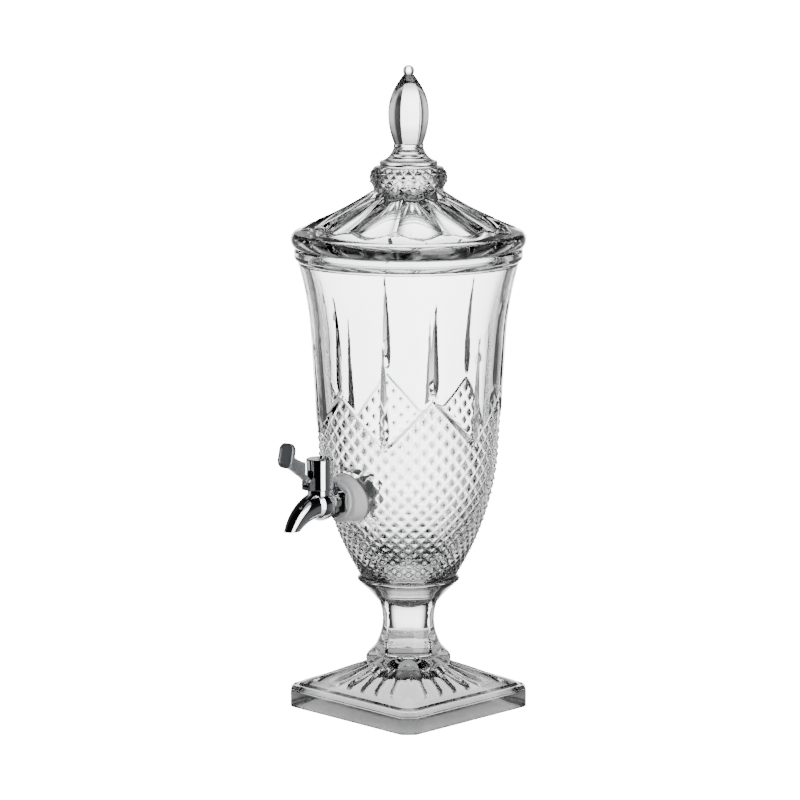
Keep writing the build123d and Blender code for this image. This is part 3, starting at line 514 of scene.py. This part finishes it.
# The boss and the pad inside are ground flat, which leaves them matt.
from_tap = np.hypot(points[:, 0], points[:, 2] - tap_z)
ground_boss = (from_tap < 19.6) & (points[:, 1] < -62)
ground_pad = (from_tap < 14.9) & (np.abs(points[:, 1] + 51.6) < 0.35)
mark(vessel, "ground", ground_boss | ground_pad)
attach(vessel, "dispenser")
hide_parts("vessel")

# Washers, gasket, packing and plug: soft silicone rings and a plug, moulded milky white or dark grey.
# They seal the tap to the bowl, the barrel to the body, and the valve to its seat.


def moulded_rubber(name, colour, bloom_colour):
    """Moulded silicone: a dull skin with a fine matt grain and a little bloom."""
    grain_mm, bloom_mm, grain_depth = 0.4, 5, 0.05
    material, tree, out = fresh(name)
    place = add(tree, "ShaderNodeTexCoord").outputs["Object"]
    grain = add(tree, "ShaderNodeTexNoise", None,
                {"Scale": 1 / (grain_mm * MM), "Detail": 3.0}, {"Vector": place})
    bloom = add(tree, "ShaderNodeTexNoise", None,
                {"Scale": 1 / (bloom_mm * MM), "Detail": 2.0}, {"Vector": place})
    tone = add(tree, "ShaderNodeMix", {"data_type": "RGBA"},
               {"A": linear(colour), "B": linear(bloom_colour)}, {"Factor": bloom.outputs["Fac"]})
    bump = add(tree, "ShaderNodeBump", None, {"Strength": 0.4, "Distance": grain_depth * MM},
               {"Height": grain.outputs["Fac"]})
    dull = add(tree, "ShaderNodeBsdfPrincipled", None, {"Roughness": 0.55, "IOR": 1.42},
               {"Base Color": tone.outputs["Result"], "Normal": bump.outputs["Normal"]})
    tree.links.new(dull.outputs["BSDF"], out.inputs["Surface"])
    return material


def dress(name, material):
    """Puts a material on a CAD node that stays as it is."""
    nodes[name].data.materials.clear()
    nodes[name].data.materials.append(material)


milky = moulded_rubber("moulded_milky_silicone", "D3D5D4", "C4C6C6")
dark = moulded_rubber("moulded_dark_silicone", "2E3032", "56585A")
for name, rubber in (("outer_washer", milky), ("inner_washer", milky), ("bonnet_gasket", dark),
                     ("seat_plug", dark), ("stem_packing", dark)):
    dress(name, rubber)

# Tap body, barrel and cap: zinc castings, polished and chrome plated.
# The tail goes through the bore and is drawn tight by the nut inside; the barrel screws into the neck.


def plated(name, colour, roughness, grain_mm, grain_depth):
    """Metal: a bright or satin skin with a faint unevenness of its grain, and soft wiping marks."""
    wiping_mm = 9
    material, tree, out = fresh(name)
    place = add(tree, "ShaderNodeTexCoord").outputs["Object"]
    uneven = add(tree, "ShaderNodeTexNoise", None,
                 {"Scale": 1 / (grain_mm * MM), "Detail": 3.0}, {"Vector": place})
    wiped = add(tree, "ShaderNodeTexNoise", None,
                {"Scale": 1 / (wiping_mm * MM), "Detail": 4.0}, {"Vector": place})
    polish = add(tree, "ShaderNodeMapRange", None,
                 {"To Min": roughness * 0.6, "To Max": roughness * 1.5}, {"Value": wiped.outputs["Fac"]})
    bump = add(tree, "ShaderNodeBump", None, {"Strength": 1.0, "Distance": grain_depth * MM},
               {"Height": uneven.outputs["Fac"]})
    metal = add(tree, "ShaderNodeBsdfPrincipled", None, {"Base Color": linear(colour), "Metallic": 1.0},
                {"Roughness": polish.outputs["Result"], "Normal": bump.outputs["Normal"]})
    tree.links.new(metal.outputs["BSDF"], out.inputs["Surface"])
    return material


def smooth_copy(name, node, material, crease):
    """The node's own shape with its loose triangles joined, so that the metal shines without facets."""
    joined_within = 0.002
    source = nodes[node].data
    corners = np.zeros(len(source.vertices) * 3, np.float32)
    source.vertices.foreach_get("co", corners)
    keys = np.round(corners.reshape(-1, 3).astype(float) / (joined_within * MM)).astype(np.int64)
    _, firsts, same = np.unique(keys, axis=0, return_index=True, return_inverse=True)
    triangles = np.zeros(len(source.loops), np.int32)
    source.loops.foreach_get("vertex_index", triangles)
    faces = same.reshape(-1)[triangles.reshape(-1, 3)]
    sound = (faces[:, 0] != faces[:, 1]) & (faces[:, 1] != faces[:, 2]) & (faces[:, 2] != faces[:, 0])
    points = corners.reshape(-1, 3)[firsts].astype(float) / MM
    return make_piece(name, points, faces[sound].tolist(), material, crease)


chrome = plated("polished_chrome_plate", "D9DBDD", 0.05, 4, 0.004)
for name, node in (("tap_body_casting", "tap_body"), ("barrel_casting", "bonnet"),
                   ("barrel_cap_turned", "bonnet_cap")):
    piece = smooth_copy(name, node, chrome, 28)
    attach(piece, "dispenser")
    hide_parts(node)

# Nut: a brass hexagon on the tail, turned from the bar and dull nickel plated.
# It is seen through the bowl's wall.

brass = plated("turned_nickelled_brass", "D6D5D0", 0.42, 1.2, 0.02)
dress("clamp_nut", brass)

# Lever: a zinc casting with a satin finish, hinged on a pin in the barrel's ears.
# Pressing its thumb pad down lifts the valve stem inside the barrel.

satin = plated("satin_plated_zinc", "B0B3B6", 0.46, 0.5, 0.012)
lever = smooth_copy("lever_casting", "lever", satin, 28)
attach(lever, "lever")
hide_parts("lever")

# Pin, valve stem and spring: drawn stainless steel, plain finished.
# The spring closes the valve when the lever is let go; it shortens against the cap as the stem lifts.

steel = plated("drawn_stainless_steel", "B9BBBD", 0.25, 0.3, 0.01)
for name in ("lever_pin", "valve_stem"):
    dress(name, steel)
spring = smooth_copy("return_spring_coil", "return_spring", steel, 50)
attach(spring, "dispenser")
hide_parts("return_spring")
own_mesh(spring)

# Lid: a fluted cone of pressed glass with a locating ring below, a crown of cut diamonds and a finial.
# It is pressed in one piece, the finial in six panels, and lifts straight off the bowl.

lid_turn = np.radians(7)
dome_z, dome_foot_r = 411.0, 70.2
lid_rings = []
for radius, height in ((6, dome_z), (17, dome_z), (19.0, 410.8)):
    lid_rings.append(polar(even, radius, height))
dome = bulged((19.5, dome_z), (dome_foot_r, rim_z), -2.8, 26)[1:]

# Under the dome: the locating ring, the seat on the bowl's rim, and the round edge.
lid_rim_profile = (
    (dome_foot_r, 370), (70.3, 367.2), (70.7, 366.2), (71.6, 365.7), (75, 365.7), (78.0, 365.7),
    (78.9, 366.1), (79.2, 367.0), (79.2, 370), (79.2, 373.8), (79.5, 374.5), (80.4, 374.72),
    (85, 374.72), (89.4, 374.72), (90.6, 374.95), (91.6, 375.6), (92.6, 377.0), (93.4, 378.9),
    (93.7, 380.7), (93.6, 382.6), (93.1, 384.4), (92.3, 385.9), (91.2, 387.0))
for radius, height in (*dome, *lid_rim_profile):
    lid_rings.append(polar(even, radius, height))

# The cone's twelve flutes start at a wavy line near the rim, with two small steps facing outwards.
cone_foot_r, cone_foot_z, cone_run, cone_rise, cone_sag = 91.0, 387.2, 62.5, 32.8, 2.8
flute_deep, flute_half = 5.0, np.radians(15)
outer_step, outer_step_run, inner_step, inner_step_run = 1.2, 0.9, 0.9, 0.6
flute_inward, flute_downward = 0.42, 0.9
lid_flute = nearest(even, 12, lid_turn + flute_half)
wave = np.cos(12 * (even - lid_turn - flute_half))
outer_end, inner_end = 82.5 + 4.0 * wave, 75.0 + 1.35 * wave
for radius in np.concatenate([np.linspace(90.4, 72, 44), np.linspace(71, 28.5, 40)]):
    share = (cone_foot_r - radius) / cone_run
    height = cone_foot_z + cone_rise * share - 4 * cone_sag * share * (1 - share)
    run_in = np.clip((outer_end - radius) / (outer_end - inner_end), 0, 1)
    scoop = flute_deep * (1 - 0.45 * share) * run_in * (1 - (lid_flute / flute_half) ** 2)
    steps = (outer_step * np.clip((outer_end - radius) / outer_step_run, 0, 1)
             + inner_step * np.clip((inner_end - radius) / inner_step_run, 0, 1))
    hollow = (scoop - steps * (1 - share)) * np.clip((1.0 - share) / 0.08, 0.5, 1)
    lid_rings.append(polar(even, radius - flute_inward * hollow, height - flute_downward * hollow))

# The crown is a round bead cut with two sets of slanting grooves.
ring_points = bulged((27.9, 422.4), (26.9, 438.7), 4.0, 120)
ring_run = np.concatenate([[0], np.cumsum(np.hypot(*np.diff(ring_points, axis=0).T))])
studs, crown_radius, stud_deep, stud_fade = 24, 31.0, 1.5, 1.2
stud_pitch = 2 * np.pi / studs
stud_level = np.linspace(0, ring_run[-1], 44)
up = (stud_level - ring_run[-1] / 2) / (crown_radius * stud_pitch)
sp, sq = even[None] / stud_pitch + up[:, None], even[None] / stud_pitch - up[:, None]
stud = np.minimum(np.abs(sp - np.round(sp)), np.abs(sq - np.round(sq))) / 0.5
stud_ends = np.clip(np.minimum(stud_level, ring_run[-1] - stud_level) / stud_fade, 0, 1)[:, None]
stud_cut = stud_deep * (1 - stud) * stud_ends
stud_r = np.interp(stud_level, ring_run, ring_points[:, 0])[:, None] - stud_cut
stud_z = np.interp(stud_level, ring_run, ring_points[:, 1])
for radius, height in zip(stud_r, stud_z):
    lid_rings.append(polar(even, radius, height))
neck = bulged((22.6, 443.1), (12.4, 452.4), -1.8, 12)
for radius, height in ((25.5, 439.0), (24.0, 439.1), (23.3, 439.4), (23.0, 440.2), (23.0, 442.2),
                       (22.9, 442.8), *neck, (11.9, 453.1), (11.9, 455.9), (11.8, 456.5)):
    lid_rings.append(polar(even, radius, height))

# The finial swells and narrows along a smooth curve, in six soft panels, under a small round tip.
finial_foot, finial_height, finial_radius, panel_flat = 456.7, 54, 17.0, 0.7
tip_radius, tip_z, lid_top = 4.6, 514.38, 518.98
panel = nearest(even, 6, lid_turn - np.radians(45))
swell_share = (0.0, 0.08, 0.2, 0.33, 0.46, 0.6, 0.75, 0.88, 0.96, 1.0)
swell_size = (0.71, 0.80, 0.915, 0.98, 1.0, 0.955, 0.80, 0.56, 0.385, 0.29)
curve = np.polyfit(swell_share, swell_size, 6)
for share in np.linspace(0.01, 0.985, 46):
    size = finial_radius * np.polyval(curve, share)
    panelled = (1 - panel_flat) + panel_flat * np.cos(np.pi / 6) / np.cos(panel)
    hexagon = size * panelled - 0.04 * size
    radius = np.minimum(hexagon, size * 0.985)
    lid_rings.append(polar(even, radius, finial_foot + finial_height * share))
for lean in np.linspace(-0.62, 1.45, 16):
    lid_rings.append(polar(even, tip_radius * np.cos(lean), tip_z + tip_radius * np.sin(lean)))

lid_glass = pressed_glass("pressed_lid_glass", 14, 0.05)
points, faces = capped(np.array(lid_rings), (0, 0, dome_z), (0, 0, lid_top))
lid = make_piece("lid_glass", points, faces, lid_glass, 24)
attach(lid, "lid")
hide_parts("lid")

# Studio: a white table, a glowing square of painted shadow under the foot that only the glass shows, and a
# tent of light.
# The tent has dark gaps, and one pattern for what glass lets through and one for what surfaces reflect.
# The camera itself sees an even white.

BACKDROP = 18.0
square = np.array([(-1, -1, 0), (1, -1, 0), (1, 1, 0), (-1, 1, 0)])

table, tree, out = fresh("lit_white_table")
place = add(tree, "ShaderNodeTexCoord").outputs["Object"]
tooth = add(tree, "ShaderNodeTexNoise", None, {"Scale": 1 / (3 * MM), "Detail": 2.0}, {"Vector": place})
shade = add(tree, "ShaderNodeMix", {"data_type": "RGBA"},
            {"A": linear("F8F8F8"), "B": linear("FAFAFA")}, {"Factor": tooth.outputs["Fac"]})
matt = add(tree, "ShaderNodeBsdfPrincipled", None,
           {"Roughness": 0.9, "Specular IOR Level": 0.1, "Emission Color": linear("FFFFFF"),
            "Emission Strength": BACKDROP},
           {"Base Color": shade.outputs["Result"]})
tree.links.new(matt.outputs["BSDF"], out.inputs["Surface"])
floor = make_piece("studio_floor", square * 30000.0 - (0, 0, 0.05), [[0, 1, 2, 3]], table)
floor.visible_glossy = False
floor.visible_transmission = False
floor.visible_diffuse = False

# Painted shadow: a dark grey square that glows, dimmer towards its middle, standing in for the table's shade
# under the foot where the glass looks down.
painted_shadow, tree, out = fresh("painted_shadow_white_table")
place = add(tree, "ShaderNodeTexCoord").outputs["Object"]
away = add(tree, "ShaderNodeVectorMath", {"operation": "LENGTH"}, None, {0: place})
glow = add(tree, "ShaderNodeMapRange", {"interpolation_type": "SMOOTHSTEP"},
           {"From Min": 20 * MM, "From Max": 150 * MM, "To Min": 2.0, "To Max": 5.0},
           {"Value": away.outputs["Value"]})
matt = add(tree, "ShaderNodeBsdfPrincipled", None,
           {"Base Color": linear("404040"), "Roughness": 0.9, "Emission Color": linear("FFFFFF")},
           {"Emission Strength": glow.outputs["Result"]})
tree.links.new(matt.outputs["BSDF"], out.inputs["Surface"])
under = make_piece("studio_painted_shadow_under_foot", square * 110.0 - (0, 0, 0.04), [[0, 1, 2, 3]], painted_shadow)
under.visible_camera = False
under.visible_glossy = False
under.visible_diffuse = False


def stripes(tree, angle, limit, stops):
    """Strength along an angle in degrees: the listed values, with eased steps between them."""
    share = add(tree, "ShaderNodeMapRange", None,
                {"From Min": -np.radians(limit), "From Max": np.radians(limit)}, {"Value": angle})
    band = add(tree, "ShaderNodeValToRGB", None, None, {"Fac": share.outputs["Result"]})
    ramp = band.color_ramp
    ramp.interpolation = "EASE"
    for number, (degrees, value) in enumerate(stops):
        place = (degrees / limit + 1) / 2
        element = ramp.elements[number] if number < 2 else ramp.elements.new(place)
        element.position = place
        element.color = (value, value, value, 1)
    return band.outputs["Color"]


world = bpy.data.worlds.new("light_tent")
bpy.context.scene.world = world
world.use_nodes = True
tent = world.node_tree
tent.nodes.clear()
direction = add(tent, "ShaderNodeTexCoord").outputs["Generated"]
back = add(tent, "ShaderNodeVectorMath", {"operation": "DOT_PRODUCT"}, {1: (-0.7071, 0.7071, 0)},
           {0: direction})
right = add(tent, "ShaderNodeVectorMath", {"operation": "DOT_PRODUCT"}, {1: (0.7071, 0.7071, 0)},
            {0: direction})
bearing = add(tent, "ShaderNodeMath", {"operation": "ARCTAN2"}, None,
              {0: right.outputs["Value"], 1: back.outputs["Value"]}).outputs["Value"]
upward = add(tent, "ShaderNodeSeparateXYZ", None, None, {"Vector": direction}).outputs["Z"]
rise = add(tent, "ShaderNodeMath", {"operation": "ARCSINE"}, None, {0: upward}).outputs["Value"]


def tent_light(power, *parts, least):
    """Light of the tent: the brightest of its walls, each a stripe round it times a stripe up it."""
    light = least
    for round_it, up_it in parts:
        part = add(tent, "ShaderNodeMath", {"operation": "MULTIPLY"}, None, {0: round_it, 1: up_it})
        light = add(tent, "ShaderNodeMath", {"operation": "MAXIMUM"}, None,
                    {0: light, 1: part.outputs["Value"]}).outputs["Value"]
    strength = add(tent, "ShaderNodeMath", {"operation": "MULTIPLY"}, {1: power}, {0: light})
    return add(tent, "ShaderNodeBackground", None, {"Color": linear("FFFFFF")},
               {"Strength": strength.outputs["Value"]}).outputs["Background"]


# Bearings in degrees are from straight behind the object, and rises from level, each with its strength.
through = tent_light(
    12.0,
    (stripes(tent, bearing, 180, (
        (-180, .14), (180, .14), (-165, .12), (-140, .12), (-128, .12), (-112, .004), (-102, .003),
        (-96, .25), (-86, .25), (-80, .003), (-60, .002), (-54, .14), (-42, .14), (-36, .008),
        (-23, .008), (-11, .75), (0, .8), (11, .75), (23, .008), (36, .008), (42, .14), (54, .14),
        (60, .002), (80, .003), (86, .25), (96, .25), (102, .003), (112, .004), (128, .12),
        (140, .12), (165, .12))),
     stripes(tent, rise, 90, (
        (-90, .1), (90, .03), (-60, .15), (-40, .35), (-22, .9), (-14, 1), (0, .95), (9, .55),
        (18, .2), (32, .06)))),
    least=stripes(tent, rise, 90, ((-90, .22), (90, 0), (-50, .18), (-32, .03), (-20, 0))))
mirrored = tent_light(
    9.0,
    (stripes(tent, bearing, 180, (
        (-180, .0004), (180, .0004), (-90, .0004), (-82, .08), (-24, .05), (-10, .8), (10, .8),
        (24, .05), (64, .08), (74, .025), (126, .014), (132, .0004))),
     stripes(tent, rise, 90, (
        (-90, .05), (90, .01), (-40, .5), (-25, 1), (2, 1), (9, .12), (40, .03)))),
    (stripes(tent, bearing, 180, ((-180, 0), (180, 0), (133, 0), (138, .9), (166, .9), (171, 0))),
     stripes(tent, rise, 90, ((-90, 0), (90, 0), (-30, .3), (-22, 1), (40, 1), (52, .1)))),
    least=stripes(tent, rise, 90, (
        (-90, .008), (90, .0004), (-70, .006), (-40, .001), (-10, .0004))))

path = add(tent, "ShaderNodeLightPath").outputs
tent_seen = add(tent, "ShaderNodeMixShader", None, None,
                {0: path["Is Transmission Ray"], 1: mirrored, 2: through})
plain = add(tent, "ShaderNodeBackground", None, {"Color": linear("FFFFFF"), "Strength": BACKDROP})
seen = add(tent, "ShaderNodeMixShader", None, None,
           {0: path["Is Camera Ray"], 1: tent_seen.outputs["Shader"], 2: plain.outputs["Background"]})
add(tent, "ShaderNodeOutputWorld", None, None, {"Surface": seen.outputs["Shader"]})

# Camera: a long lens 2.8 m away, looking a little down on the object and straight at a corner of the plinth.
# It takes in the whole dispenser.

lens = bpy.data.cameras.new("camera")
lens.lens = 157.5
lens.sensor_width = 36.0
lens.clip_end = 100
camera = bpy.data.objects.new("camera", lens)
bpy.context.scene.collection.objects.link(camera)
aim = Vector((-4.8, -4.8, 251.3)) * MM
camera.location = aim + Vector((1952.3, -1952.3, 466.9)) * MM
camera.rotation_euler = (aim - camera.location).to_track_quat("-Z", "Y").to_euler()
bpy.context.scene.camera = camera
